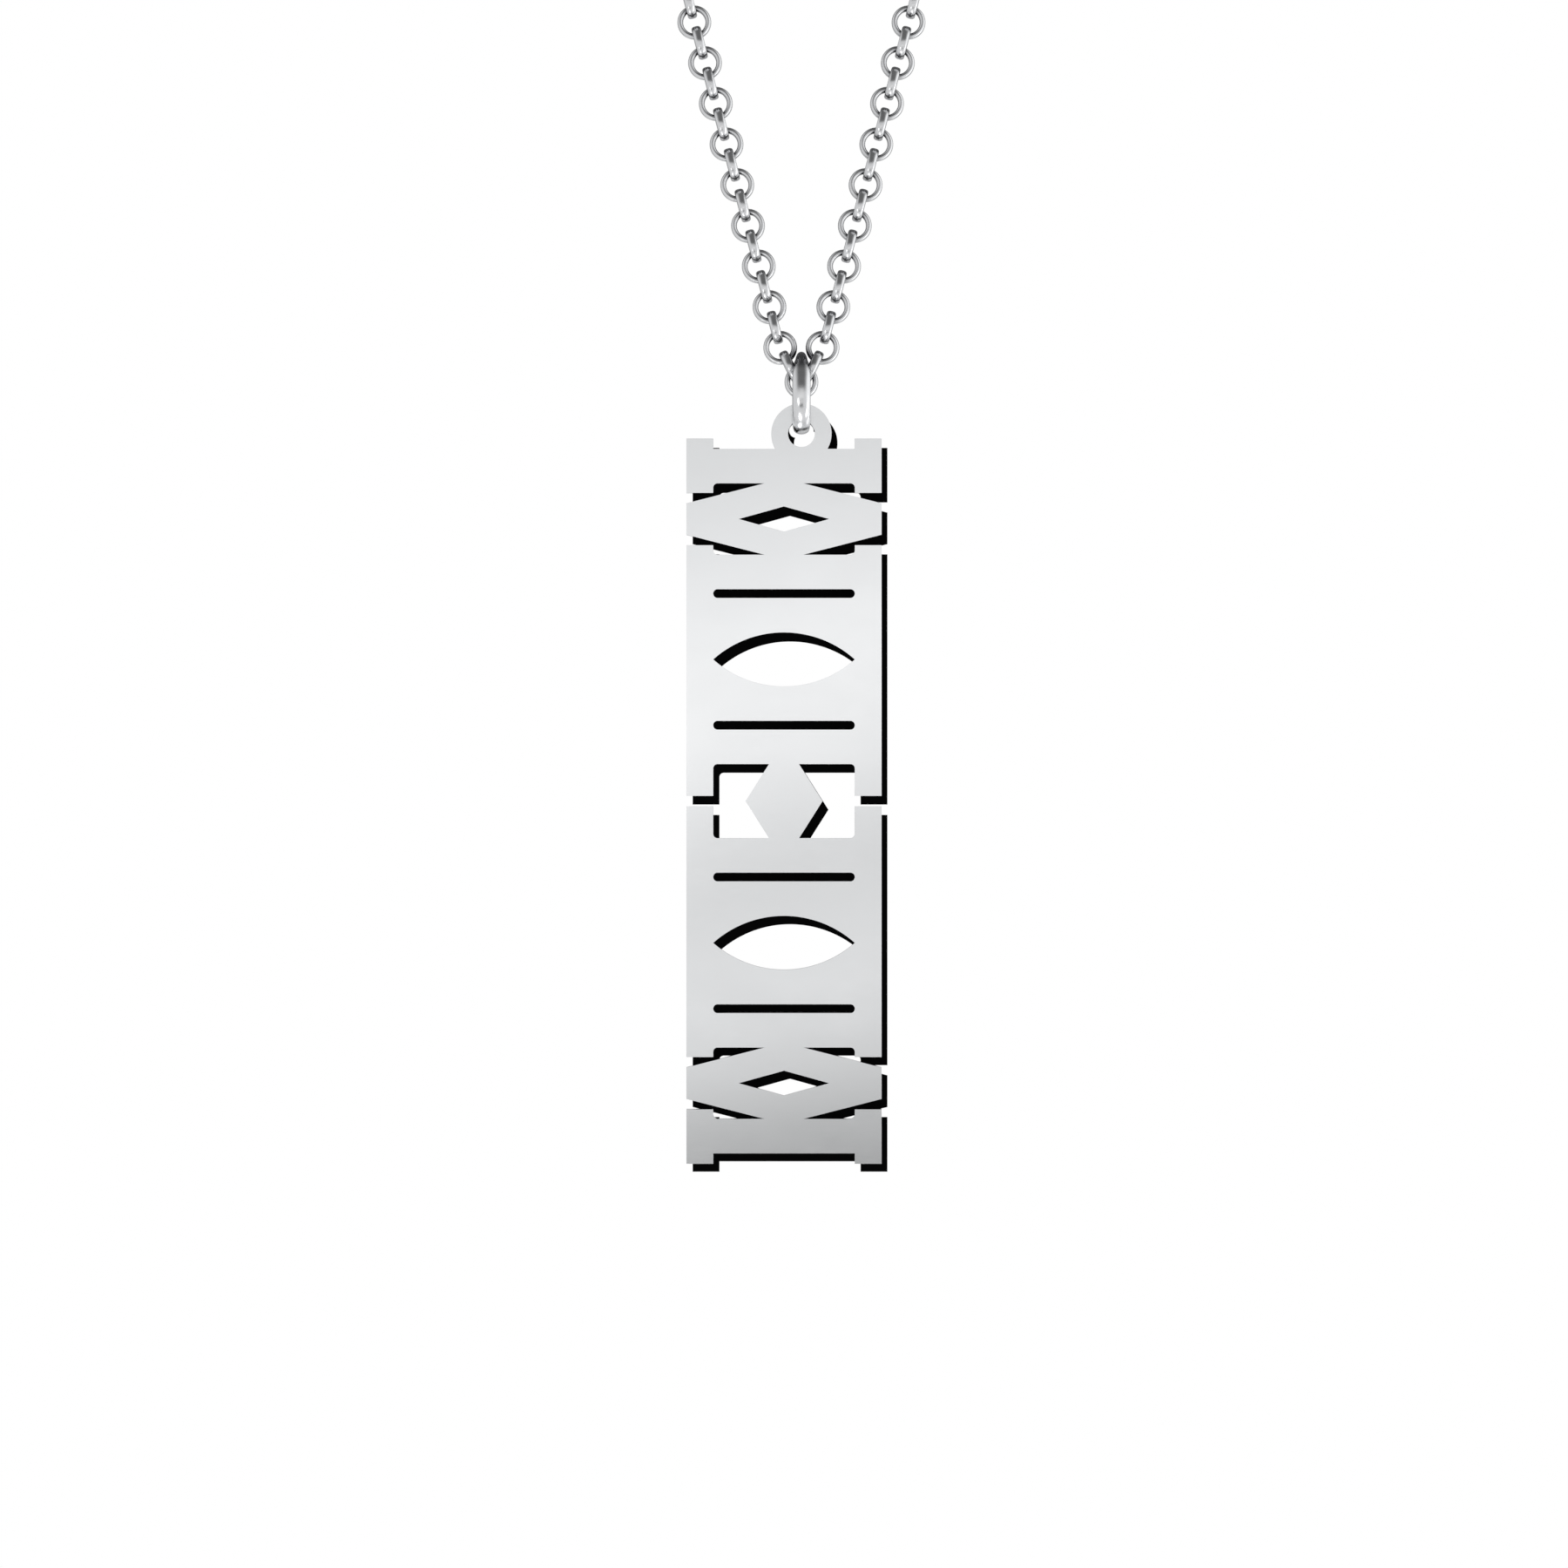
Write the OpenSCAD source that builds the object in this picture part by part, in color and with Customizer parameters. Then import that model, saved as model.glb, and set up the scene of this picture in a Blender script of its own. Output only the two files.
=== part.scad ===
// Nameplate necklace.
// A pierced upright plate hangs with a dark backing plate from a bail ring on a rolo chain.
// The chain is a whole loop round the neck that closes at the nape with a plain clasp.
// The origin is the middle of the clasp, +Z is up and the front of the necklace faces -Y.

/* [Plates] */
// Width of both plates
plate_w = 11.65; // [10.6:0.05:14]
// Width of the side rails
rail_w = 1.6; // [1.2:0.05:2]
// Height of each solid crossbar
rung_h = 2.06; // [1.6:0.02:2.6]
// Height of the slots between two crossbars
slot_h = 0.52; // [0.4:0.02:0.8]
// Height of the lozenge panels
lozenge_h = 4.26; // [3.6:0.02:5]
// Height of the flat tips of each lozenge
lozenge_tip_h = 1.88; // [1.4:0.02:2.2]
// Width of the diamond opening in each lozenge
diamond_w = 5.4; // [3:0.1:6]
// Height of the diamond opening in each lozenge
diamond_h = 1.5; // [1:0.02:2]
// Height of the lens panels
lens_h = 3.22; // [2.4:0.02:4]
// Height of the centre panel
centre_h = 4.42; // [3.6:0.02:5]
// Width of the boss that joins the two halves at the centre panel
boss_w = 1.8; // [1.4:0.1:2.4]
// Width of that boss at its middle
boss_middle_w = 4.6; // [3:0.1:5.4]
// Height of the notches through the side rails
notch_h = 0.62; // [0.4:0.02:0.64]
// Height of the lugs on the four corners
lug_h = 0.62; // [0.3:0.02:1]
// Radius of the small fillets in the openings' corners
fillet_r = 0.26; // [0.1:0.02:0.36]
// Thickness of the front plate
front_t = 0.6; // [0.4:0.05:0.8]
// Thickness of the back plate
back_t = 0.4; // [0.3:0.05:0.6]
// How far the back plate shows to the right of the front plate
back_right = 0.36; // [0.2:0.02:0.5]
// How far the back plate shows below the front plate
back_down = 0.52; // [0.3:0.02:0.7]

/* [Eye] */
// Outer diameter of the eye
eye_d = 3.6; // [3.4:0.05:4.2]
// Diameter of the hole in the eye
hole_d = 1.6; // [1.56:0.02:1.7]
// Height of the hole's centre above the plate's top edge
eye_rise = 0.91; // [0.8:0.01:1.1]
// Distance from the plate's middle to the eye, to the right
eye_shift = 1.04; // [0:0.02:2]

// Swing of the plates to each side of upright, in degrees
swing = 25; // [10:1:30]

/* [Bail ring] */
// Outer diameter of the ring
bail_d = 4.94; // [4.8:0.02:5.4]
// Thickness of the ring from its inside to its outside
bail_t = 0.62; // [0.5:0.02:0.64]
// Width of the ring as seen from the front
bail_w = 1.09; // [0.9:0.01:1.1]
// Width of the ring where it passes between the lowest links
bail_neck_w = 0.6; // [0.5:0.02:0.62]
// Width of the ring at its very top
bail_top_w = 0.36; // [0.3:0.02:0.4]

/* [Chain] */
// Outer diameter of a link
link_d = 2.03; // [2:0.01:2.1]
// Width of a link's flat band
link_w = 0.4; // [0.34:0.01:0.44]
// Thickness of a link's flat band
link_t = 0.3; // [0.26:0.01:0.31]
// Angle of each strand from upright above the bail
strand_angle = 14.8; // [12:0.1:18]
// Tilt of the two links that pass through the lowest link
low_tilt = 27; // [26:0.5:30]
// Links on each side of the lowest link in the whole loop
loop_side_links = 199; // [191:2:207]
// Links of those that are single pieces, before the plain back stretch
side_links = 119; // [21:2:119]
// Diameter of the plain back stretch
back_chain_d = 2; // [1.6:0.05:2.2]

/* [Neck] */
// Depth of the loop from the clasp to the front
loop_depth = 85; // [80:1:90]
// Drop from the clasp to the ends of the straight front strands
curve_drop = 56; // [52:1:60]
// Length of the neck curve's handle along the strand
strand_handle = 44; // [40:1:48]
// Length of the neck curve's handle to the side at the nape
nape_handle = 62; // [58:1:66]

/* [Clasp] */
// Outer diameter of the clasp's ring
clasp_d = 5.4; // [5:0.1:6.4]
// Thickness of the ring's wire
clasp_wire = 0.8; // [0.6:0.05:0.9]
// Outer diameter of the clasp's small eye
clasp_eye_d = 2.6; // [2.5:0.05:3]
// Thickness of the small eye's wire
clasp_eye_wire = 0.6; // [0.5:0.02:0.62]

/* [Clearances] */
// Gap between neighbouring links
link_gap = 0.11; // [0.11:0.01:0.13]
// Gap between the lowest link and the bail ring above it
bail_gap = 0.18; // [0.14:0.01:0.24]
// Gap between the bail ring and the hole in the eye
hole_gap = 0.06; // [0.04:0.01:0.08]
// Gap between the two plates
plate_gap = 0.05; // [0.02:0.01:0.1]
// Gap between the plain back stretch and what it meets
stretch_gap = 0.2; // [0.1:0.05:0.5]

/* [Hidden] */
$fn = 48;
over = 1;

// Sizes of a link that follow from the driving ones
link_r = link_d/2;
link_hole_r = link_r - link_t;
link_mid_r = link_r - link_t/2;
// How far a band reaches across the next link's hole, from the middle, and how much less of a
// round hole is left at the edges of a band
link_reach = sqrt(pow(link_hole_r - link_gap, 2) - pow(link_w/2, 2));
edge_rise = link_hole_r - sqrt(pow(link_hole_r, 2) - pow(link_w/2, 2));
// Distance between neighbouring links
pitch = link_reach + link_hole_r - edge_rise;

// The lowest link lies at [0, front_y, low_z]. The next link's band passes through its hole
// beside the other strand's, as high as the clearances let it.
low_up = [sin(low_tilt), cos(low_tilt)];
low_across = [-cos(low_tilt), sin(low_tilt)];
low_corners = [for (i = [-link_t/2, link_t/2 + edge_rise], j = [-link_w/2, link_w/2])
    i*low_up + j*low_across];
low_x = link_gap/2 - min([for (c = low_corners) c[0]]);
low_z_in_hole = min([for (c = low_corners)
    sqrt(pow(link_hole_r - link_gap, 2) - pow(low_x + c[0], 2)) - c[1]]);
first_at = [low_x, low_z_in_hole] + link_mid_r*low_up;
second_at = first_at + pitch*low_up;

strand_dir = [sin(strand_angle), 0, cos(strand_angle)];
front_y = -loop_depth;

// The clasp's ring and small eye overlap by half a wire, with the same reach to both sides
clasp_ring_r = clasp_d/2;
clasp_eye_r = clasp_eye_d/2;
clasp_span = clasp_ring_r + clasp_eye_r - clasp_eye_wire*0.7;
ring_reach = clasp_ring_r - clasp_wire + link_hole_r - edge_rise - link_gap;
eye_reach = link_hole_r - edge_rise
    + sqrt(pow(clasp_eye_r - clasp_eye_wire - link_gap, 2) - pow(link_w/2, 2));
clasp_reach = (clasp_span + ring_reach + eye_reach)/2;

// The neck curve leads from the end of the right strand, at x, to the clasp
CURVE_STEPS = 160;
function neck_points(x) =
    let (start = [x, front_y, -curve_drop])
    [start, start + strand_handle*strand_dir, [clasp_reach + nape_handle, 0, 0],
        [clasp_reach, 0, 0]];
function bezier(p, t) = pow(1 - t, 3)*p[0] + 3*t*pow(1 - t, 2)*p[1] + 3*t*t*(1 - t)*p[2]
    + pow(t, 3)*p[3];
function bezier_slope(p, t) = pow(1 - t, 2)*(p[1] - p[0]) + 2*t*(1 - t)*(p[2] - p[1])
    + t*t*(p[3] - p[2]);
// The length along the curve at each step, with the step's share
function length_table(p) = [for (i = 0, s = 0; i <= CURVE_STEPS;
    s = s + norm(bezier(p, (i + 1)/CURVE_STEPS) - bezier(p, i/CURVE_STEPS)), i = i + 1)
    [s, i/CURVE_STEPS]];

// The links set how long the route is after the second link. The straight strand takes up what
// the curve leaves, so its end is found by a few passes that each correct the last.
route_links = loop_side_links - 2;
STRAND_PASSES = 8;
function strand_end(x, passes) = passes == 0 ? x
    : strand_end(second_at[0]
        + (route_links*pitch - length_table(neck_points(x))[CURVE_STEPS][0])*strand_dir[0],
        passes - 1);
neck_curve = neck_points(strand_end(curve_drop/2, STRAND_PASSES));
curve_table = length_table(neck_curve);
neck_start = neck_curve[0];
strand_len = (neck_start[0] - second_at[0])/strand_dir[0];
low_z = neck_start[2] - strand_len*strand_dir[2] - second_at[1];
route_len = strand_len + curve_table[CURVE_STEPS][0];
step = route_len/route_links;

// Place, direction and outward side at a length along the right route
function unit(v) = v/norm(v);
function smooth(t) = t*t*(3 - 2*t);
function route_at(s) = s < strand_len
    ? neck_start - (strand_len - s)*strand_dir
    : bezier(neck_curve, lookup(s - strand_len, curve_table));
function route_dir(s) = s < strand_len
    ? strand_dir
    : unit(bezier_slope(neck_curve, lookup(s - strand_len, curve_table)));
function beside_neck(p, b) = [p[0]*b, p[1] - front_y/2, 0];
function outward(p, dir) =
    let (o = beside_neck(p, smooth(1 - p[1]/front_y)))
    unit(o - (o*dir)*dir);

// Places of the links, counted from the lowest one, with those of the left strand below zero
function on_side(v, side) = [side*v[0], v[1], v[2]];
function link_place(k) =
    let (n = abs(k), side = sign(k))
    n < 2 ? [side*first_at[0], front_y, low_z + n*first_at[1]]
    : on_side(route_at((n - 2)*step), side);
function link_dir(k) =
    let (n = abs(k), side = sign(k))
    n == 0 ? [0, 0, 1]
    : n == 1 ? [side*low_up[0], 0, low_up[1]]
    : on_side(route_dir((n - 2)*step), side);

// The bail ring hangs on the lowest link, and the hole in the eye hangs on the bail ring
bail_r = bail_d/2;
bail_z = low_z + link_r + bail_gap - (bail_r - bail_t);
plates_t = front_t + plate_gap + back_t;
bail_mid_r = bail_r - bail_t/2;
wire_z = bail_z - sqrt(pow(bail_mid_r, 2) - pow(plates_t/2, 2));
hole_z = wire_z - sqrt(pow(hole_d/2 - hole_gap - bail_t/2, 2) - pow((bail_w - bail_t)/2, 2));
// Heights above the bail's centre, as shares of its radius, where its full width ends and where
// it passes between the lowest links
BAIL_SHOULDER = 0.34;
BAIL_NECK = 0.62;

// Heights of the plate's panels above its middle
inner_w = plate_w - 2*rail_w;
slot_y = centre_h/2 + rung_h + slot_h/2;
lens_y = slot_y + slot_h/2 + rung_h + lens_h/2;
high_slot_y = lens_y + lens_h/2 + rung_h + slot_h/2;
lozenge_y = high_slot_y + slot_h/2 + rung_h + lozenge_h/2;
plate_h = 2*(lozenge_y + lozenge_h/2 + rung_h);
lozenge_stub_h = (lozenge_h - lozenge_tip_h)/2 - notch_h;
centre_stub_h = (centre_h - notch_h)/2;
// Share of the plate's width over which a lozenge touches the crossbars
LOZENGE_JOIN = 0.2;

// An outline closed by the same points on the left
function both_sides(right) =
    concat(right, [for (i = [len(right) - 1:-1:0]) [-right[i][0], right[i][1]]]);

// A shape drawn again on the left, below, and on both
module four_ways() {
    for (left = [0, 1], below = [0, 1])
        mirror([left, 0]) mirror([0, below]) children();
}

// The stump of a side rail at a panel's upper right corner, with a fillet to the crossbar
module rail_stub(panel_h, stub_h) {
    translate([inner_w/2, panel_h/2 - stub_h]) square([rail_w + over, stub_h + over]);
    difference() {
        translate([inner_w/2 - fillet_r, panel_h/2 - fillet_r]) square(fillet_r + over);
        translate([inner_w/2 - fillet_r, panel_h/2 - fillet_r]) circle(fillet_r);
    }
}

module slot() {
    square([inner_w - slot_h, slot_h], center = true);
    for (x = [-1, 1]) translate([x*(inner_w - slot_h)/2, 0]) circle(slot_h/2);
}

// An opening with two pointed ends, between two arcs
module lens() {
    r = (pow(inner_w, 2) + pow(lens_h, 2))/(4*lens_h);
    intersection_for (y = [-1, 1]) translate([0, y*(r - lens_h/2)]) circle(r, $fn = 160);
}

module diamond(w, h) polygon([[-w/2, 0], [0, -h/2], [w/2, 0], [0, h/2]]);

module lozenge() {
    join = plate_w*LOZENGE_JOIN/2;
    tip = [plate_w/2, lozenge_tip_h/2];
    top = lozenge_h/2;
    difference() {
        polygon(both_sides([[join, -top - over], [join, -top], [tip[0], -tip[1]], tip,
            [join, top], [join, top + over]]));
        diamond(diamond_w, diamond_h);
    }
}

module lozenge_openings() {
    difference() {
        square([plate_w + over, lozenge_h], center = true);
        lozenge();
        four_ways() rail_stub(lozenge_h, lozenge_stub_h);
    }
}

module boss() {
    top = centre_h/2;
    polygon(both_sides([[boss_w/2, -top - over], [boss_w/2, -top], [boss_middle_w/2, 0],
        [boss_w/2, top], [boss_w/2, top + over]]));
}

module centre_openings() {
    difference() {
        square([plate_w + over, centre_h], center = true);
        boss();
        four_ways() rail_stub(centre_h, centre_stub_h);
    }
}

// The solid slab with a lug on each corner
module slab() {
    low = -plate_h/2;
    high = plate_h/2;
    polygon(both_sides([[inner_w/2, low], [inner_w/2, low - lug_h], [plate_w/2, low - lug_h],
        [plate_w/2, high + lug_h], [inner_w/2, high + lug_h], [inner_w/2, high]]));
}

// The pierced outline of a plate, with the middle of the eye's hole at the origin
module plate_outline() {
    difference() {
        union() {
            translate([-eye_shift, -eye_rise - plate_h/2]) slab();
            circle(eye_d/2);
        }
        translate([-eye_shift, -eye_rise - plate_h/2]) {
            centre_openings();
            for (up = [0, 1]) mirror([0, up]) {
                translate([0, slot_y]) slot();
                translate([0, lens_y]) lens();
                translate([0, high_slot_y]) slot();
                translate([0, lozenge_y]) lozenge_openings();
            }
        }
        circle(hole_d/2);
    }
}

// A flat piece whose back is at the depth y, drawn as seen from the front
module upright(y, t) {
    translate([0, y, 0]) rotate([90, 0, 0]) linear_extrude(t) children();
}

module front_plate() {
    color("gainsboro")
        translate([0, front_y, hole_z])
            upright(front_t - plates_t/2, front_t) plate_outline();
}

// Where the bail's wire passes through the plates at every swing, with its clearance
module wire_passage() {
    hull()
        for (turn = [-swing:swing/2:swing], x = [-1, 1], z = [bail_z - bail_mid_r, wire_z])
            rotate(turn) translate([x*(bail_w - bail_t)/2, z - hole_z])
                circle(bail_t/2 + hole_gap);
}

// The bail needs that part of the front plate's hole in the back plate too
module back_plate() {
    color([0.03, 0.03, 0.03])
        translate([0, front_y, hole_z])
            upright(plates_t/2, back_t) difference() {
                translate([back_right, -back_down]) plate_outline();
                intersection() {
                    circle(hole_d/2);
                    wire_passage();
                }
            }
}

// The bail's outline as seen from the front: its top is narrow, to pass between the links
module bail_outline() {
    far = bail_r + over;
    polygon(both_sides([[bail_w/2 + over, -far], [bail_w/2 + over, bail_r*BAIL_SHOULDER],
        [bail_w/2, bail_r*BAIL_SHOULDER], [bail_neck_w/2, bail_r*BAIL_NECK],
        [bail_top_w/2, bail_r], [bail_top_w/2, far]]));
}

module bail_ring() {
    color("silver")
        translate([0, front_y, bail_z])
            intersection() {
                rotate([0, 90, 0]) rotate_extrude() translate([bail_mid_r, 0]) {
                    square([bail_t, bail_w - bail_t], center = true);
                    for (y = [-1, 1]) translate([0, y*(bail_w - bail_t)/2]) circle(bail_t/2);
                }
                upright(bail_r + over, 2*(bail_r + over)) bail_outline();
            }
}

module link() rotate_extrude() translate([link_hole_r, -link_w/2]) square([link_t, link_w]);

// A link with its ring across the outward direction if k is even, and along it if k is odd
module placed_link(k) {
    p = link_place(k);
    dir = link_dir(k);
    out = outward(p, dir);
    across = cross(dir, out);
    x = k % 2 == 0 ? across : dir;
    y = k % 2 == 0 ? dir : out;
    z = k % 2 == 0 ? out : across;
    multmatrix([[x[0], y[0], z[0], p[0]], [x[1], y[1], z[1], p[1]], [x[2], y[2], z[2], p[2]]])
        link();
}

module chain_front() {
    color("silver") for (k = [-side_links:side_links]) placed_link(k);
}

// The chain's plain back stretch: an eight-sided tube with a ring of points every two diameters
TUBE_SIDES = 8;
tube_from = (side_links - 2)*step + link_r + stretch_gap;
tube_to = route_len - stretch_gap - max(clasp_ring_r - ring_reach, clasp_eye_r - eye_reach);
tube_steps = ceil((tube_to - tube_from)/(2*back_chain_d));
function tube_ring(s, side) =
    let (p = on_side(route_at(s), side), dir = on_side(route_dir(s), side),
        out = outward(p, dir), across = cross(dir, out))
    [for (i = [0:TUBE_SIDES - 1])
        let (a = 360*(i + 0.5)/TUBE_SIDES)
        p + back_chain_d/2*(cos(a)*out + sin(a)*across)];

module back_stretch(side) {
    points = [for (j = [0:tube_steps]) each
        tube_ring(tube_from + (tube_to - tube_from)*j/tube_steps, side)];
    walls = [for (j = [0:tube_steps - 1], i = [0:TUBE_SIDES - 1])
        let (a = j*TUBE_SIDES + i, b = j*TUBE_SIDES + (i + 1) % TUBE_SIDES)
        [a, b, b + TUBE_SIDES, a + TUBE_SIDES]];
    start = [for (i = [TUBE_SIDES - 1:-1:0]) i];
    end = [for (i = [0:TUBE_SIDES - 1]) tube_steps*TUBE_SIDES + i];
    polyhedron(points, concat(walls, [start, end]));
}

module chain_back() {
    color("silver") for (side = [-1, 1]) back_stretch(side);
}

module flat_ring(d, wire) {
    rotate([90, 0, 0]) rotate_extrude() translate([d/2 - wire/2, 0]) circle(wire/2);
}

module clasp() {
    color("silver") {
        translate([clasp_reach - ring_reach, 0, 0]) flat_ring(clasp_d, clasp_wire);
        translate([eye_reach - clasp_reach, 0, 0]) flat_ring(clasp_eye_d, clasp_eye_wire);
    }
}

front_plate();
back_plate();
bail_ring();
chain_front();
chain_back();
clasp();
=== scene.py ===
"""Looks of the nameplate necklace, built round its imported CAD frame.

Lengths are in millimetres, as in the CAD source, and become metres where a mesh is made.
The frame is the CAD's: the origin is the middle of the clasp, +Z is up, the front faces -Y.
"""
import math

import bmesh
import bpy
import numpy as np
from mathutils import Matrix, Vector


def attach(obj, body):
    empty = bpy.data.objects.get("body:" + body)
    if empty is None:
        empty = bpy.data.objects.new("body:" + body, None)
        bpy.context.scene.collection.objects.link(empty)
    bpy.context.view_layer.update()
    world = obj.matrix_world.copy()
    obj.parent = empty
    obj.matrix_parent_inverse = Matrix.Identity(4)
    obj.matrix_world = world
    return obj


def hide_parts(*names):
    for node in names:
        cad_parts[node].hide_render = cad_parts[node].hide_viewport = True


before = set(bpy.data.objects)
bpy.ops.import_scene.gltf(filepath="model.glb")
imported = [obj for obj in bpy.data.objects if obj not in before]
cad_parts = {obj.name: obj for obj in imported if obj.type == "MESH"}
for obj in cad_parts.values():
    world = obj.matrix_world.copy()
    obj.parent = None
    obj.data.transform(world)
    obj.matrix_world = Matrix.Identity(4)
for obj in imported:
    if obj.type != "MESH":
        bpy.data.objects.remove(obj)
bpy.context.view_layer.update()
scene = bpy.context.scene
MM = 0.001

# The CAD source's driving values that the looks repeat
FRONT_PLATE_T, PLATE_GAP, BACK_PLATE_T = 0.6, 0.05, 0.4
PLATES_T = FRONT_PLATE_T + PLATE_GAP + BACK_PLATE_T
EYE_SHIFT = 1.04
BAIL_D, BAIL_T, BAIL_W = 4.94, 0.62, 1.09
BAIL_NECK_W, BAIL_TOP_W = 0.6, 0.36
BAIL_SHOULDER, BAIL_NECK = 0.34, 0.62
BAIL_GAP = 0.18
LINK_D, LINK_W, LINK_T, LINK_GAP = 2.03, 0.4, 0.3, 0.11
STRAND_ANGLE, LOW_TILT = math.radians(14.8), math.radians(27)
LOOP_SIDE_LINKS, SIDE_LINKS = 199, 119
LOOP_DEPTH, CURVE_DROP, STRAND_HANDLE, NAPE_HANDLE = 85, 56, 44, 62
CLASP_D, CLASP_WIRE, CLASP_EYE_D, CLASP_EYE_WIRE = 5.4, 0.8, 2.6, 0.6
CLASP_OVERLAP = 0.7 * CLASP_EYE_WIRE
CURVE_STEPS, STRAND_PASSES = 160, 8
FRONT_Y = -LOOP_DEPTH


def unit(v):
    return v / np.linalg.norm(v)


# The chain's route, worked out as in the CAD source

LINK_R = LINK_D / 2
LINK_HOLE_R = LINK_R - LINK_T
LINK_MID_R = LINK_R - LINK_T / 2
LINK_REACH = math.sqrt((LINK_HOLE_R - LINK_GAP) ** 2 - (LINK_W / 2) ** 2)
EDGE_RISE = LINK_HOLE_R - math.sqrt(LINK_HOLE_R**2 - (LINK_W / 2) ** 2)
PITCH = LINK_REACH + LINK_HOLE_R - EDGE_RISE

# The two links that pass side by side through the hole of the lowest one
low_up = np.array([math.sin(LOW_TILT), math.cos(LOW_TILT)])
low_across = np.array([-math.cos(LOW_TILT), math.sin(LOW_TILT)])
low_corners = [
    i * low_up + j * low_across
    for i in (-LINK_T / 2, LINK_T / 2 + EDGE_RISE)
    for j in (-LINK_W / 2, LINK_W / 2)
]
low_x = LINK_GAP / 2 - min(c[0] for c in low_corners)
low_z_in_hole = min(
    math.sqrt((LINK_HOLE_R - LINK_GAP) ** 2 - (low_x + c[0]) ** 2) - c[1]
    for c in low_corners
)
first_at = np.array([low_x, low_z_in_hole]) + LINK_MID_R * low_up
second_at = first_at + PITCH * low_up

strand_dir = np.array([math.sin(STRAND_ANGLE), 0, math.cos(STRAND_ANGLE)])
clasp_ring_r, clasp_eye_r = CLASP_D / 2, CLASP_EYE_D / 2
clasp_span = clasp_ring_r + clasp_eye_r - CLASP_OVERLAP
ring_reach = clasp_ring_r - CLASP_WIRE + LINK_HOLE_R - EDGE_RISE - LINK_GAP
eye_reach = (
    LINK_HOLE_R
    - EDGE_RISE
    + math.sqrt((clasp_eye_r - CLASP_EYE_WIRE - LINK_GAP) ** 2 - (LINK_W / 2) ** 2)
)
clasp_reach = (clasp_span + ring_reach + eye_reach) / 2


def neck_points(x):
    """Bezier points of the curve from the end of the right strand, at x, to the clasp."""
    start = np.array([x, FRONT_Y, -CURVE_DROP])
    return (
        start,
        start + STRAND_HANDLE * strand_dir,
        np.array([clasp_reach + NAPE_HANDLE, 0, 0]),
        np.array([clasp_reach, 0, 0]),
    )


def bezier(p, t):
    u = 1 - t
    return u**3 * p[0] + 3 * t * u * u * p[1] + 3 * t * t * u * p[2] + t**3 * p[3]


def bezier_slope(p, t):
    u = 1 - t
    return u * u * (p[1] - p[0]) + 2 * t * u * (p[2] - p[1]) + t * t * (p[3] - p[2])


def length_table(p):
    """Length along the curve up to each of its steps."""
    points = np.array([bezier(p, i / CURVE_STEPS) for i in range(CURVE_STEPS + 1)])
    steps = np.linalg.norm(np.diff(points, axis=0), axis=1)
    return np.concatenate([[0], np.cumsum(steps)])


# The straight strand takes up what the curve leaves, so each pass corrects the last
route_links = LOOP_SIDE_LINKS - 2
end_x = CURVE_DROP / 2
for _ in range(STRAND_PASSES):
    curve_len = length_table(neck_points(end_x))[-1]
    end_x = second_at[0] + (route_links * PITCH - curve_len) * strand_dir[0]
neck_curve = neck_points(end_x)
curve_table = length_table(neck_curve)
curve_shares = np.arange(CURVE_STEPS + 1) / CURVE_STEPS
strand_len = (neck_curve[0][0] - second_at[0]) / strand_dir[0]
low_z = neck_curve[0][2] - strand_len * strand_dir[2] - second_at[1]
step = (strand_len + curve_table[-1]) / route_links


def route_at(s):
    """Point of the route's right half at length s after the second link."""
    if s < strand_len:
        return neck_curve[0] - (strand_len - s) * strand_dir
    return bezier(neck_curve, np.interp(s - strand_len, curve_table, curve_shares))


def route_dir(s):
    if s < strand_len:
        return strand_dir
    t = np.interp(s - strand_len, curve_table, curve_shares)
    return unit(bezier_slope(neck_curve, t))


def link_frame(k):
    """Place of link k, its direction along the chain, and its outward side."""
    n, side = abs(k), (k > 0) - (k < 0)
    mirror = np.array([side, 1, 1])
    if n == 0:
        p, along = np.array([0, FRONT_Y, low_z]), np.array([0, 0, 1.0])
    elif n == 1:
        p = np.array([side * first_at[0], FRONT_Y, low_z + first_at[1]])
        along = np.array([side * low_up[0], 0, low_up[1]])
    else:
        s = (n - 2) * step
        p, along = route_at(s) * mirror, route_dir(s) * mirror
    share = 1 - p[1] / FRONT_Y
    away = np.array([p[0] * share * share * (3 - 2 * share), p[1] - FRONT_Y / 2, 0])
    return p, along, unit(away - (away @ along) * along)


# Meshes


def mesh_piece(name, verts, faces, body, material, node):
    """Makes a smooth piece from points in millimetres, which stands for a CAD node."""
    mesh = bpy.data.meshes.new(name)
    mesh.from_pydata((np.asarray(verts) * MM).tolist(), [], faces)
    mesh.polygons.foreach_set("use_smooth", [True] * len(mesh.polygons))
    mesh.update()
    piece = bpy.data.objects.new(name, mesh)
    scene.collection.objects.link(piece)
    mesh.materials.append(material)
    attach(piece, body)
    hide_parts(node)


def section(sides, half_t, half_w, power):
    """A rounded band's section: a superellipse, as (outward, sideways) pairs."""
    a = 2 * math.pi * (np.arange(sides) + 0.5) / sides
    c, s = np.cos(a), np.sin(a)
    return np.stack(
        [
            half_t * np.sign(c) * np.abs(c) ** (2 / power),
            half_w * np.sign(s) * np.abs(s) ** (2 / power),
        ],
        axis=1,
    )


def closed_faces(rings, sides, offset=0):
    """Quads of a tube whose rings of points close on themselves."""
    return [
        (
            offset + i * sides + j,
            offset + (i + 1) % rings * sides + j,
            offset + (i + 1) % rings * sides + (j + 1) % sides,
            offset + i * sides + (j + 1) % sides,
        )
        for i in range(rings)
        for j in range(sides)
    ]


# A link's rounded band as the photograph shows it, a little fuller than the CAD's flat one
BAND_W, BAND_T, BAND_POWER = 0.56, 0.35, 2.5
# How many points go round a link and round its band
FINE_LINK, PLAIN_LINK = (40, 16), (28, 14)


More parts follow.
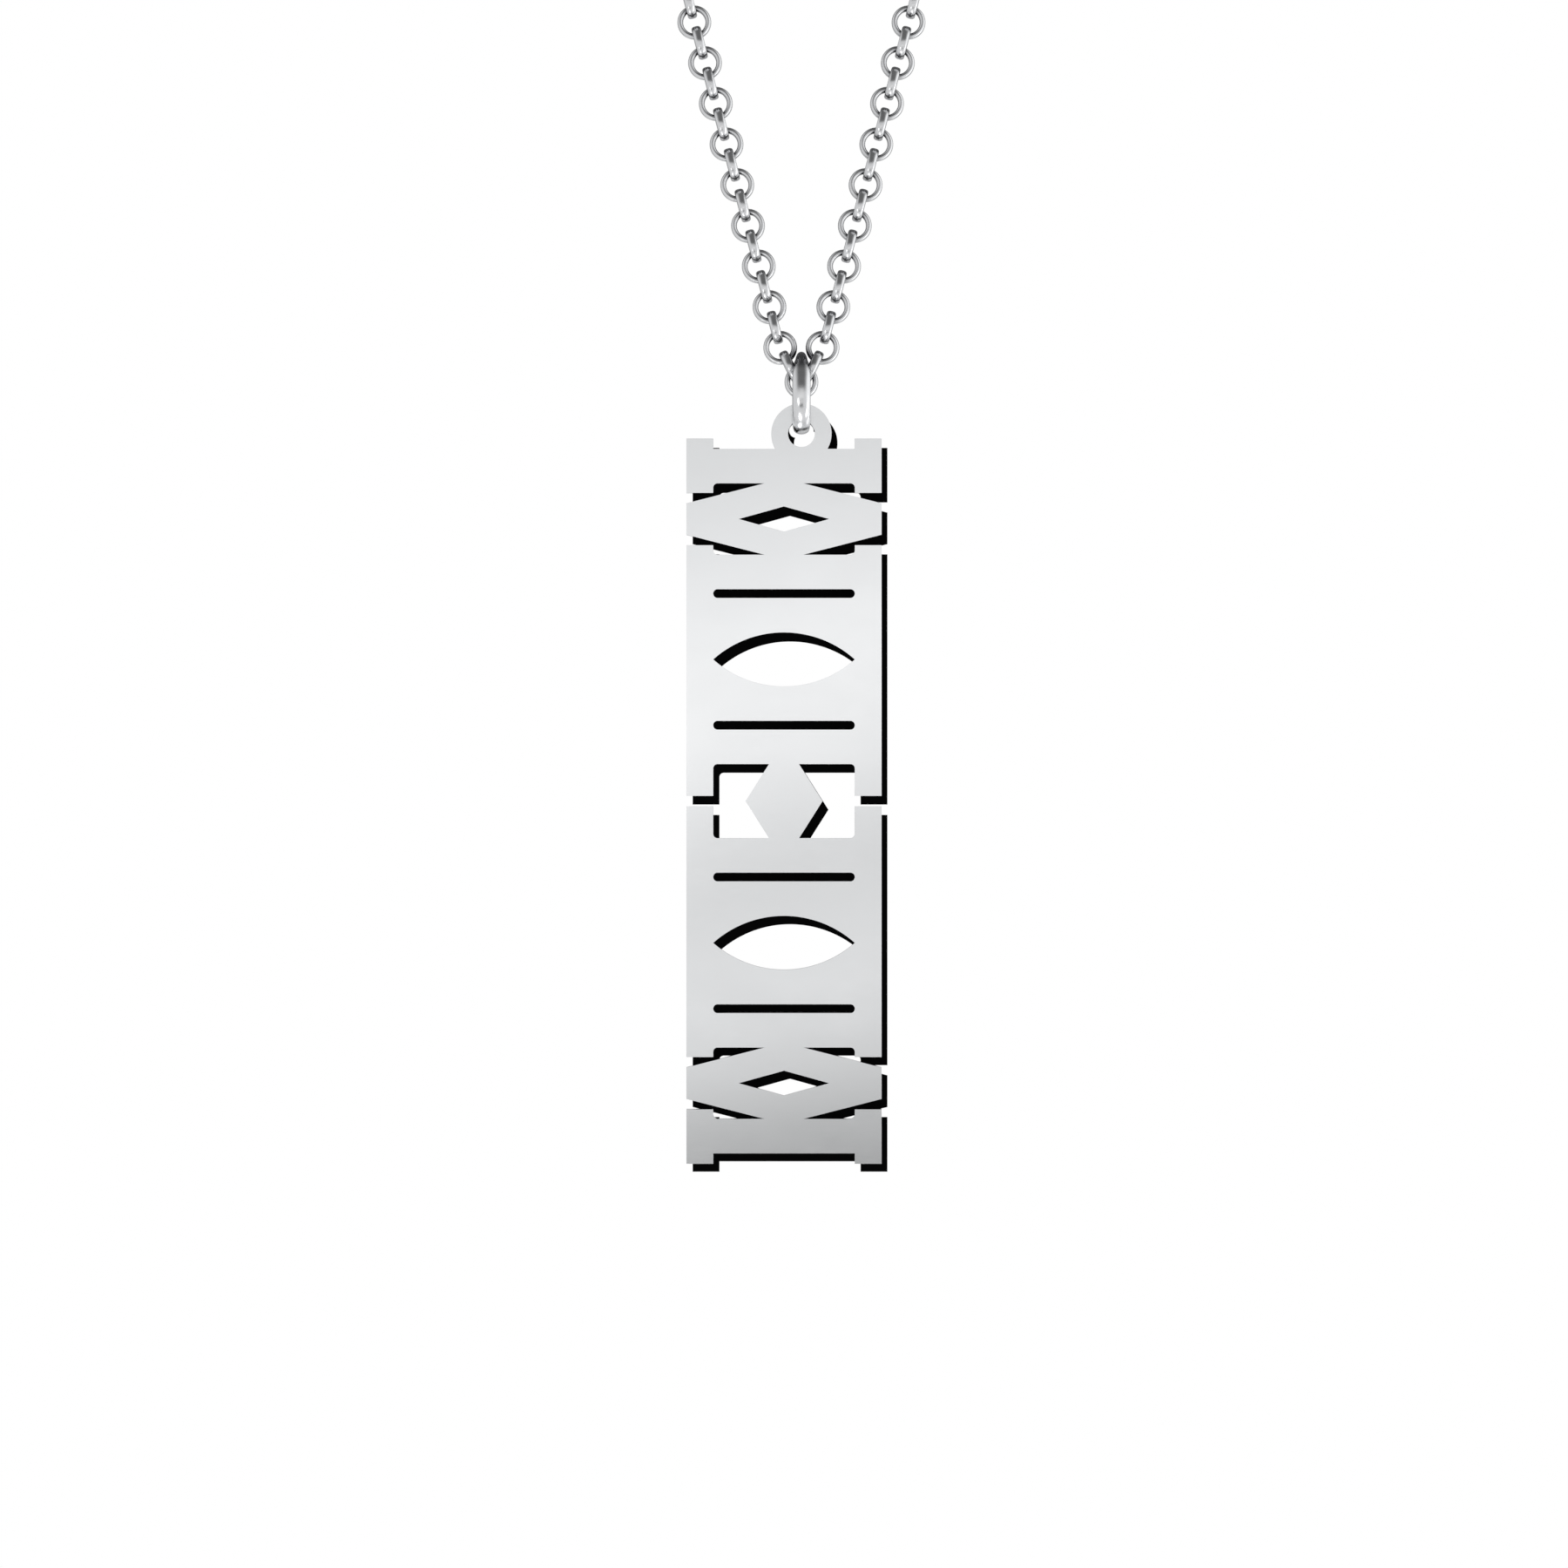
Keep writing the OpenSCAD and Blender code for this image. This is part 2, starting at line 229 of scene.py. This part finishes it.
def link_shape(rings, sides):
    """Points of a link about its middle, with its axis along Z."""
    cut = section(sides, BAND_T / 2, BAND_W / 2, BAND_POWER)
    mid = LINK_R - BAND_T / 2
    points = []
    for i in range(rings):
        a = 2 * math.pi * i / rings
        for out, aside in cut:
            r = mid + out
            points.append((r * math.cos(a), r * math.sin(a), aside))
    return np.array(points)


def links_mesh(name, numbers, fineness, material, node):
    """Even links face outward, and odd ones are turned on edge."""
    shape = link_shape(*fineness)
    verts, faces = [], []
    for count, k in enumerate(numbers):
        p, along, out = link_frame(k)
        across = np.cross(along, out)
        axes = (across, along, out) if k % 2 == 0 else (along, out, across)
        verts.append(shape @ np.array(axes) + p)
        faces += closed_faces(*fineness, count * len(shape))
    verts = np.concatenate(verts)
    mesh_piece(name, verts, faces, "chain", material, node)


# The bail is a ring in the YZ plane whose width follows the height. Heights here are above
# its middle, as shares of its radius.
BAIL_R = BAIL_D / 2
BAIL_MID_R = BAIL_R - BAIL_T / 2
bail_z = low_z + LINK_R + BAIL_GAP - (BAIL_R - BAIL_T)
BAIL_RINGS, BAIL_SIDES, BAIL_POWER = 128, 32, 2.05
# Below its foot's height it narrows, by a share that would be this one at a height of -1
BAIL_FOOT, FOOT_NARROWING = -0.6, 0.3
# Above its neck it is as full as the photograph's, as far as the links let it
TOP_FULLER = 0.08
NECK_HEIGHTS = BAIL_NECK, 0.71, 0.8, 0.9, 1
NECK_WIDTHS = BAIL_NECK_W, 0.71, 0.7, 0.53, BAIL_TOP_W + TOP_FULLER
# Behind the links it keeps its width for longer, and on its outer side for longest
BACK_HEIGHTS = 0.69, 0.757, 0.792, 0.821, 0.874
BACK_INNER_WIDTHS = BAIL_W, 0.71, 0.7, 0.664, 0.574
BACK_OUTER_WIDTHS = BAIL_W, 1.0, 0.85, 0.7, 0.574


def bail_width(height):
    """Width of the bail at a height, but for its back half above the shoulder."""
    if height < BAIL_FOOT:
        down = (BAIL_FOOT - height) / (1 + BAIL_FOOT)
        return BAIL_W * (1 - FOOT_NARROWING * down * down)
    if height > BAIL_NECK:
        return float(np.interp(height, NECK_HEIGHTS, NECK_WIDTHS))
    up = max(0.0, (height - BAIL_SHOULDER) / (BAIL_NECK - BAIL_SHOULDER))
    return BAIL_NECK_W + (BAIL_W - BAIL_NECK_W) * math.sqrt(max(0.0, 1 - up * up))


def bail_mesh(material):
    cut = section(BAIL_SIDES, BAIL_T / 2, half_w=0.5, power=BAIL_POWER)
    verts = []
    for i in range(BAIL_RINGS):
        a = 2 * math.pi * i / BAIL_RINGS
        radial = np.array([0, math.sin(a), math.cos(a)])
        height = math.cos(a) * BAIL_MID_R / BAIL_R
        inner = outer = bail_width(height)
        if radial[1] > 0 and height > BAIL_SHOULDER:
            inner = np.interp(height, BACK_HEIGHTS, BACK_INNER_WIDTHS)
            outer = np.interp(height, BACK_HEIGHTS, BACK_OUTER_WIDTHS)
        for out, aside in cut:
            p = (BAIL_MID_R + out) * radial
            width = inner + (outer - inner) * (out / BAIL_T + 0.5)
            verts.append((aside * width, p[1] + FRONT_Y, p[2] + bail_z))
    faces = closed_faces(BAIL_RINGS, BAIL_SIDES)
    mesh_piece("bail", verts, faces, "bail", material, "bail_ring")


# How many points go round each ring of the clasp and round its wire
CLASP_FINENESS, CLASP_EYE_FINENESS = (96, 24), (64, 20)


def ring_points(d, wire, x, rings, sides):
    """Points of a ring of round wire in the XZ plane, whose middle is at x."""
    points = []
    for i in range(rings):
        a = 2 * math.pi * i / rings
        for j in range(sides):
            b = 2 * math.pi * j / sides
            r = d / 2 - wire / 2 + wire / 2 * math.cos(b)
            y = wire / 2 * math.sin(b)
            points.append((x + r * math.cos(a), y, r * math.sin(a)))
    return points


def clasp_mesh(material):
    ring_x, eye_x = clasp_reach - ring_reach, eye_reach - clasp_reach
    ring = ring_points(CLASP_D, CLASP_WIRE, ring_x, *CLASP_FINENESS)
    eye = ring_points(CLASP_EYE_D, CLASP_EYE_WIRE, eye_x, *CLASP_EYE_FINENESS)
    faces = closed_faces(*CLASP_FINENESS)
    faces += closed_faces(*CLASP_EYE_FINENESS, len(ring))
    verts = np.array(ring + eye)
    mesh_piece("clasp_rings", verts, faces, "chain", material, "clasp")


WELD_GAP = 0.0005  # points of the CAD mesh that are nearer are one point
LEVEL_GAP = 0.001  # an edge is level, and a point on a line, to within this
FLAT_ANGLE = math.radians(0.3)  # faces that turn by less are one flat face
CREASE_ANGLE = math.radians(24)  # edges that turn by more are sharp
RIM_ANGLE = math.radians(60)  # level edges that turn by more are on a plate's outline
ARC_TURN = math.radians(1.5)  # where two chords of one arc meet they turn by more than this
ARC_BOW = 0.05  # and they leave the arc by less than this
CHORD_SPREAD = 0.04  # and they differ in length by less than this share
ARC_CUTS = 3  # new points on each chord
EDGE_BREAK, BREAK_SEGMENTS = 0.014, 3


def is_rim(edge):
    """Whether an edge is on a plate's outline, between a flat face and a cut wall."""
    level = abs(edge.verts[0].co.y - edge.verts[1].co.y) < LEVEL_GAP * MM
    return level and edge.calc_face_angle(0) > RIM_ANGLE


def circle_through(a, b, c):
    """Middle and radius of the circle through three points of a plane."""
    ab, ac = b - a, c - a
    area = 2 * (ab.x * ac.y - ab.y * ac.x)
    u = Vector(
        (
            (ac.y * ab.length_squared - ab.y * ac.length_squared) / area,
            (ab.x * ac.length_squared - ac.x * ab.length_squared) / area,
        )
    )
    return a + u, u.length


def arc_of(edge):
    """The circle of a rim edge, if a neighbour of about its length turns a little."""
    a, b = edge.verts
    for start, end in ((a, b), (b, a)):
        for other in end.link_edges:
            if other is edge or not is_rim(other):
                continue
            far = other.other_vert(end)
            one, two = end.co - start.co, far.co - end.co
            turn = one.angle(two, math.pi)
            alike = abs(one.length - two.length) < CHORD_SPREAD * one.length
            bow = one.length * turn / 8  # the height of an arc over its chord
            if alike and turn > ARC_TURN and bow < ARC_BOW * MM:
                return circle_through(*(v.co.xz for v in (start, end, far)))
    return None


def round_arcs(bm):
    """Adds points on the true arcs between the CAD mesh's chords."""
    arcs = []
    for edge in [e for e in bm.edges if is_rim(e)]:
        circle = arc_of(edge)
        if circle:
            ends = [v.co.xz for v in edge.verts]
            arcs.append((edge, circle, ends, edge.verts[0].co.y))
    made = bmesh.ops.subdivide_edges(
        bm, edges=[a[0] for a in arcs], cuts=ARC_CUTS, use_grid_fill=False
    )
    new_verts = [v for v in made["geom_inner"] if isinstance(v, bmesh.types.BMVert)]
    near = LEVEL_GAP * MM
    for _, (middle, radius), (one, two), y in arcs:
        chord = two - one
        for v in new_verts:
            along = (v.co.xz - one).dot(chord) / chord.length_squared
            off = (v.co.xz - one - along * chord).length
            if abs(v.co.y - y) < near and 0 < along < 1 and off < near:
                spoke = (v.co.xz - middle).normalized() * radius
                v.co.x, v.co.z = middle + spoke


def plate_piece(name, node, material):
    """Makes a plate on the CAD's own outline, with its cut edges finely broken."""
    bm = bmesh.new()
    bm.from_mesh(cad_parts[node].data)
    bmesh.ops.remove_doubles(bm, verts=bm.verts, dist=WELD_GAP * MM)
    bmesh.ops.dissolve_limit(bm, angle_limit=FLAT_ANGLE, verts=bm.verts, edges=bm.edges)
    round_arcs(bm)
    bm.normal_update()
    weights = bm.edges.layers.float.new("bevel_weight_edge")
    for face in bm.faces:
        face.smooth = True
    for edge in bm.edges:
        if is_rim(edge):
            edge[weights] = 1
        edge.smooth = edge.calc_face_angle(0) < CREASE_ANGLE
    mesh = bpy.data.meshes.new(name)
    bm.to_mesh(mesh)
    bm.free()
    piece = bpy.data.objects.new(name, mesh)
    scene.collection.objects.link(piece)
    mesh.materials.append(material)
    bevel = piece.modifiers.new("broken_edges", "BEVEL")
    bevel.limit_method = "WEIGHT"
    bevel.width = EDGE_BREAK * MM
    bevel.segments = BREAK_SEGMENTS
    bevel.harden_normals = True
    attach(piece, "pendant")
    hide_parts(node)


# Materials

# The Mix node's kinds of data, with the numbers of their sockets A, B and Result
VALUES, COLOURS = ("FLOAT", 2, 3, 0), ("RGBA", 6, 7, 2)
NOISE_LOW, NOISE_HIGH = 0.3, 0.7  # nearly all of a noise lies between them


class Nodes:
    """A short way to write a node tree."""

    def __init__(self, tree):
        self.tree = tree
        tree.nodes.clear()

    def add(self, kind, settings=None, **inputs):
        """A new node. An input goes by its name, with _ for a space, or by _ and its number."""
        node = self.tree.nodes.new(kind)
        for key, value in (settings or {}).items():
            setattr(node, key, value)
        for key, value in inputs.items():
            socket = int(key[1:]) if key[0] == "_" else key.replace("_", " ")
            self.set(node.inputs[socket], value)
        return node

    def set(self, socket, value):
        if isinstance(value, bpy.types.NodeSocket):
            self.tree.links.new(value, socket)
        elif isinstance(value, bpy.types.Node):
            self.tree.links.new(value.outputs[0], socket)
        else:
            socket.default_value = value

    def math(self, operation, a, b=0.0):
        node = self.add("ShaderNodeMath", {"operation": operation}, _0=a, _1=b)
        return node.outputs[0]

    def product(self, first, *others):
        for other in others:
            first = self.math("MULTIPLY", first, other)
        return first

    def vector_math(self, operation, a, b):
        return self.add("ShaderNodeVectorMath", {"operation": operation}, _0=a, _1=b)

    def ramp(self, value, low, high, to_low=0.0, to_high=1.0):
        """value taken from low..high to to_low..to_high, smoothly and clamped."""
        node = self.add(
            "ShaderNodeMapRange",
            {"interpolation_type": "SMOOTHSTEP", "clamp": True},
            Value=value,
            From_Min=low,
            From_Max=high,
            To_Min=to_low,
            To_Max=to_high,
        )
        return node.outputs["Result"]

    def spread(self, noise, to_low, to_high):
        return self.ramp(noise, NOISE_LOW, NOISE_HIGH, to_low, to_high)

    def mix(self, share, a, b, kind=COLOURS):
        data_type, a_number, b_number, result_number = kind
        node = self.add("ShaderNodeMix", {"data_type": data_type}, _0=share)
        self.set(node.inputs[a_number], a)
        self.set(node.inputs[b_number], b)
        return node.outputs[result_number]

    def coordinates(self, kind):
        return self.add("ShaderNodeTexCoord").outputs[kind]

    def noise(self, scales, detail=3.0, rough=0.5):
        """Noise over object space, stretched by scales in cells for each metre."""
        coords = self.coordinates("Object")
        mapped = self.add("ShaderNodeMapping", Vector=coords, Scale=scales)
        node = self.add(
            "ShaderNodeTexNoise",
            Vector=mapped,
            Scale=1.0,
            Detail=detail,
            Roughness=rough,
        )
        return node.outputs[0]


def new_material(name, colour, metallic, **constants):
    """A material with its nodes and shader. Nodes may replace the colour on its surface."""
    material = bpy.data.materials.new(name)
    material.use_nodes = True
    nodes = Nodes(material.node_tree)
    shader = nodes.add("ShaderNodeBsdfPrincipled", Metallic=metallic)
    shader.inputs["Base Color"].default_value = (*colour, 1)
    for key, value in constants.items():
        shader.inputs[key.replace("_", " ")].default_value = value
    output = nodes.add("ShaderNodeOutputMaterial")
    nodes.set(output.inputs["Surface"], shader)
    material.diffuse_color = (*colour, 1)
    return material, nodes, shader


def bump(nodes, shader, height, relief):
    """relief is the height of the bumps in millimetres."""
    node = nodes.add("ShaderNodeBump", Height=height, Distance=relief * MM, Strength=1.0)
    nodes.set(shader.inputs["Normal"], node)


WALL_NORMAL_Y, FACE_NORMAL_Y = 0.5, 0.85


def facing_front(nodes):
    """1 on the flat faces of a plate and 0 on its cut walls."""
    normal = nodes.coordinates("Normal")
    y = nodes.add("ShaderNodeSeparateXYZ", _0=normal).outputs["Y"]
    return nodes.ramp(nodes.math("ABSOLUTE", y), WALL_NORMAL_Y, FACE_NORMAL_Y)


def satin_steel():
    """Faces with a fine grain from side to side, and darker walls with marks through them."""
    face_dark, face_light = (0.885, 0.895, 0.905, 1), (0.935, 0.94, 0.945, 1)
    wall_dark, wall_light = (0.6, 0.605, 0.61, 1), (0.82, 0.82, 0.825, 1)
    material, nodes, shader = new_material("satin_steel", (0.9, 0.905, 0.91), 1.0)
    grain = nodes.noise((900, 4000, 26000), detail=4, rough=0.6)
    broad = nodes.noise((260, 260, 420), detail=2)
    marks = nodes.noise((16000, 700, 16000), detail=3, rough=0.6)
    flat = facing_front(nodes)
    face_colour = nodes.mix(grain, face_dark, face_light)
    wall_colour = nodes.mix(marks, wall_dark, wall_light)
    nodes.set(shader.inputs["Base Color"], nodes.mix(flat, wall_colour, face_colour))
    fine_rough, broad_rough = nodes.spread(grain, 0.15, 0.2), nodes.spread(broad, 0, 0.03)
    face_rough = nodes.math("ADD", fine_rough, broad_rough)
    wall_rough = nodes.spread(marks, 0.1, 0.2)
    nodes.set(shader.inputs["Roughness"], nodes.mix(flat, wall_rough, face_rough, VALUES))
    bump(nodes, shader, nodes.mix(flat, marks, grain, VALUES), 0.0005)
    return material


def black_coating():
    """A deep black coat that mirrors next to nothing."""
    dark, light = (0.0004, 0.0004, 0.0005, 1), (0.0014, 0.0014, 0.0015, 1)
    material, nodes, shader = new_material(
        "black_coating", (0.001, 0.001, 0.0011), 0.0, Specular_IOR_Level=0.02
    )
    fine = nodes.noise((9000, 9000, 9000), detail=4, rough=0.6)
    broad = nodes.noise((500, 500, 500), detail=2)
    nodes.set(shader.inputs["Base Color"], nodes.mix(broad, dark, light))
    nodes.set(shader.inputs["Roughness"], nodes.spread(fine, 0.42, 0.6))
    bump(nodes, shader, fine, 0.002)
    return material


# The steel gets painted shade in hollows, told by the share of free space round a point
HOLLOW_REACH, HOLLOW_SHARE, OPEN_SHARE = 1.05, 0.3, 0.92
# It gets painted shade too where the links crowd round the bail's top: how high that place is,
# as a share of the bail's radius, and how much of the steel's unshaded colour is left near it
CROWDED_HEIGHT, CROWDED_UNSHADED = 0.86, 0.2
CROWDED_NEAR, CROWDED_FAR = 0.4, 0.95


def polished_steel():
    tone_dark, tone_light = (0.66, 0.665, 0.675, 1), (0.75, 0.75, 0.755, 1)
    # Near black: the colour of the painted shade in hollows and round the bail's top
    painted_shade = (0.1, 0.1, 0.11, 1)
    material, nodes, shader = new_material("polished_steel", (0.7, 0.705, 0.71), 1.0)
    fine = nodes.noise((3600, 3600, 3600), detail=3, rough=0.55)
    broad = nodes.noise((420, 420, 420), detail=2)
    steel_tone = nodes.mix(broad, tone_dark, tone_light)
    space = nodes.add(
        "ShaderNodeAmbientOcclusion", {"samples": 8}, Distance=HOLLOW_REACH * MM
    )
    free = nodes.ramp(space.outputs["AO"], HOLLOW_SHARE, OPEN_SHARE)
    flat = nodes.vector_math("MULTIPLY", nodes.coordinates("Object"), (1, 0, 1))
    crowd = (0, 0, (bail_z + CROWDED_HEIGHT * BAIL_R) * MM)
    away = nodes.vector_math("DISTANCE", flat, crowd).outputs["Value"]
    # Painted shade round the bail's top, strongest nearest the crowded place
    apart = nodes.ramp(away, CROWDED_NEAR * MM, CROWDED_FAR * MM, CROWDED_UNSHADED, 1)
    unshaded = nodes.math("MULTIPLY", free, apart)
    # Painted shade: the steel's colour darkens towards near black where little space is free
    nodes.set(shader.inputs["Base Color"], nodes.mix(unshaded, painted_shade, steel_tone))
    nodes.set(shader.inputs["Roughness"], nodes.spread(fine, 0.16, 0.22))
    bump(nodes, shader, fine, 0.0006)
    return material


FLOOR_GLOW = 0.34  # lifts the floor to the pale backdrop


def pale_floor():
    dark, light = (0.85, 0.85, 0.852, 1), (0.87, 0.87, 0.872, 1)
    material, nodes, shader = new_material(
        "pale_floor", (0.86, 0.86, 0.86), 0.0, Roughness=0.7, Emission_Strength=FLOOR_GLOW
    )
    shader.inputs["Emission Color"].default_value = (1, 1, 1, 1)
    cloud = nodes.noise((3, 3, 3), detail=2)
    nodes.set(shader.inputs["Base Color"], nodes.mix(cloud, dark, light))
    return material


# Camera

# Width of what the picture shows at the front plate's face, and the picture's middle there
VIEW_W, VIEW_Z = 93.6, -190.94
VIEW_CENTRE = Vector((-EYE_SHIFT, FRONT_Y - PLATES_T / 2, VIEW_Z))
LENS, SENSOR = 120.0, 36.0
camera_data = bpy.data.cameras.new("camera")
camera_data.lens = LENS
camera_data.sensor_width = SENSOR
camera_data.clip_start = 10 * MM
camera_data.clip_end = 20000 * MM
camera = bpy.data.objects.new("camera", camera_data)
scene.collection.objects.link(camera)
camera.location = (VIEW_CENTRE - Vector((0, VIEW_W * LENS / SENSOR, 0))) * MM
camera.rotation_euler = (math.pi / 2, 0, 0)
scene.camera = camera

# Pieces

steel = polished_steel()
plate_piece("face_plate", "front_plate", satin_steel())
plate_piece("shadow_plate", "back_plate", black_coating())
bail_mesh(steel)
links_mesh("front_links_left", range(-SIDE_LINKS, 0), FINE_LINK, steel, "chain_front")
links_mesh("front_links_right", range(SIDE_LINKS + 1), FINE_LINK, steel, "chain_front")
back_range = range(SIDE_LINKS + 1, LOOP_SIDE_LINKS + 1)
back_numbers = [side * n for side in (-1, 1) for n in back_range]
links_mesh("back_links", back_numbers, PLAIN_LINK, steel, "chain_back")
clasp_mesh(steel)

# Studio

FLOOR_Z, FLOOR_R, FLOOR_SIDES = -600, 2000, 128


def disc(name, z, radius, material):
    bm = bmesh.new()
    bmesh.ops.create_circle(
        bm, cap_ends=True, segments=FLOOR_SIDES, radius=radius * MM
    )
    mesh = bpy.data.meshes.new(name)
    bm.to_mesh(mesh)
    bm.free()
    piece = bpy.data.objects.new(name, mesh)
    piece.location = (0, FRONT_Y / 2 * MM, z * MM)
    mesh.materials.append(material)
    scene.collection.objects.link(piece)
    return piece


def soft_light(name, at, towards, size, watts):
    data = bpy.data.lights.new(name, "AREA")
    data.shape = "ELLIPSE"
    data.size, data.size_y = size[0] * MM, size[1] * MM
    data.energy = watts
    light = bpy.data.objects.new(name, data)
    scene.collection.objects.link(light)
    light.location = Vector(at) * MM
    aim = Vector(towards) - Vector(at)
    light.rotation_euler = aim.to_track_quat("-Z", "Y").to_euler()
    light.visible_camera = False


# The light of the room that reflections see, and what its parts add or take away
ROOM_FRONT, ROOM_BACK = 0.86, 0.7
RIGHT_MORE, HIGH_FRONT_LESS = 0.4, 0.7
HIGH_BACK_LESS, LOW_BACK_MORE, SIDE_BACK_LESS = 0.18, 0.1, 0.35


def studio_world():
    """A white room for the camera. Reflections see another room instead.

    It is dark high up in front, bright on the right and dimmer behind, most at the sides.
    """
    world = bpy.data.worlds.new("studio")
    scene.world = world
    world.use_nodes = True
    nodes = Nodes(world.node_tree)
    split = nodes.add("ShaderNodeSeparateXYZ", _0=nodes.coordinates("Generated"))
    x, y, z = (split.outputs[i] for i in range(3))
    aside = nodes.math("ABSOLUTE", x)
    in_front = nodes.ramp(y, 0.0, 0.8, 1, 0.5)
    narrow = nodes.ramp(aside, 0.25, 0.85, 1, 0)
    high = nodes.ramp(z, -0.1, 0.35)
    behind = nodes.ramp(y, 0.25, 0.7)
    parts = (
        ("ADD", nodes.ramp(x, 0.5, 0.8), in_front, RIGHT_MORE),
        ("SUBTRACT", in_front, narrow, high, HIGH_FRONT_LESS),
        ("SUBTRACT", behind, nodes.ramp(z, 0.2, 0.5), HIGH_BACK_LESS),
        ("ADD", behind, nodes.ramp(z, -0.5, -0.2, 1, 0), LOW_BACK_MORE),
        ("SUBTRACT", behind, nodes.ramp(aside, 0.3, 0.6), SIDE_BACK_LESS),
    )
    light = nodes.ramp(y, -0.1, 0.6, ROOM_FRONT, ROOM_BACK)
    for operation, *shares in parts:
        light = nodes.math(operation, light, nodes.product(*shares))
    seen = nodes.add("ShaderNodeLightPath").outputs["Is Camera Ray"]
    white = nodes.add("ShaderNodeBackground", Strength=1.0)
    white.inputs["Color"].default_value = (1, 1, 1, 1)
    lit = nodes.add("ShaderNodeBackground", Strength=light)
    lit.inputs["Color"].default_value = (0.985, 0.992, 1, 1)
    blend = nodes.add("ShaderNodeMixShader", _0=seen, _1=lit, _2=white)
    output = nodes.add("ShaderNodeOutputWorld")
    nodes.set(output.inputs["Surface"], blend)


CARD_TINT = 1, 1.004, 1.008


def light_card(name, middle, width, tilt, stops):
    """A glowing card that the camera doesn't see and that casts no shadow.

    stops give its light by height above the middle, and those heights rise to the right by
    the tilt.
    """
    material = bpy.data.materials.new(name)
    material.use_nodes = True
    nodes = Nodes(material.node_tree)
    split = nodes.add("ShaderNodeSeparateXYZ", _0=nodes.coordinates("Object"))
    slant = nodes.math("MULTIPLY", split.outputs["X"], tilt)
    level = nodes.math("SUBTRACT", split.outputs["Z"], slant)
    low, high = stops[0][0] * MM, stops[-1][0] * MM
    share = nodes.math("DIVIDE", nodes.math("SUBTRACT", level, low), high - low)
    ramp = nodes.add("ShaderNodeValToRGB", _0=share)
    ramp.color_ramp.interpolation = "CARDINAL"
    marks = ramp.color_ramp.elements
    while len(marks) < len(stops):
        marks.new(0.5)
    for mark, (at, glow) in zip(marks, stops):
        mark.position = (at * MM - low) / (high - low)
        mark.color = (*(glow * tint for tint in CARD_TINT), 1)
    shader = nodes.add("ShaderNodeEmission", Color=ramp, Strength=1.0)
    output = nodes.add("ShaderNodeOutputMaterial")
    nodes.set(output.inputs["Surface"], shader)
    mesh = bpy.data.meshes.new(name)
    x = width / 2 * MM
    corners = [(-x, 0, low), (x, 0, low), (x, 0, high), (-x, 0, high)]
    mesh.from_pydata(corners, [], [(0, 1, 2, 3)])
    mesh.materials.append(material)
    card = bpy.data.objects.new(name, mesh)
    card.location = Vector(middle) * MM
    scene.collection.objects.link(card)
    card.visible_camera = card.visible_shadow = False


# Light by height above the camera's level, as the card's middle is at that level
CARD_W, CARD_GAP, CARD_TILT = 34, 70, 0.17
CARD_STOPS = (
    (-44, 0.14),
    (-28, 0.36),
    (-24, 0.52),
    (-20.5, 0.735),
    (-15, 0.87),
    (-11, 0.78),
    (-7, 0.67),
    (-3, 0.73),
    (1, 0.94),
    (6, 1.08),
    (14, 0.93),
    (24, 0.785),
    (34, 0.76),
)
# Place, size and watts of the lights that make the bail's white spots
LIT_PLACE = (0, -87, -168)
BAIL_LIGHTS = {
    "low_left": ((-19, -128, -191), (10, 18), 0.0008),
    "low_right": ((104, -133, -248), (50, 150), 0.024),
    "low_front": ((-12, -112, -262), (24, 40), 0.006),
}

studio_world()
disc("floor", FLOOR_Z, FLOOR_R, pale_floor()).visible_glossy = False
card_middle = VIEW_CENTRE - Vector((0, CARD_GAP, 0))
light_card("front_card", card_middle, CARD_W, CARD_TILT, CARD_STOPS)
for light_name, (at, size, watts) in BAIL_LIGHTS.items():
    soft_light(light_name, at, LIT_PLACE, size, watts)
scene.view_settings.view_transform = "Standard"
scene.view_settings.look = "None"
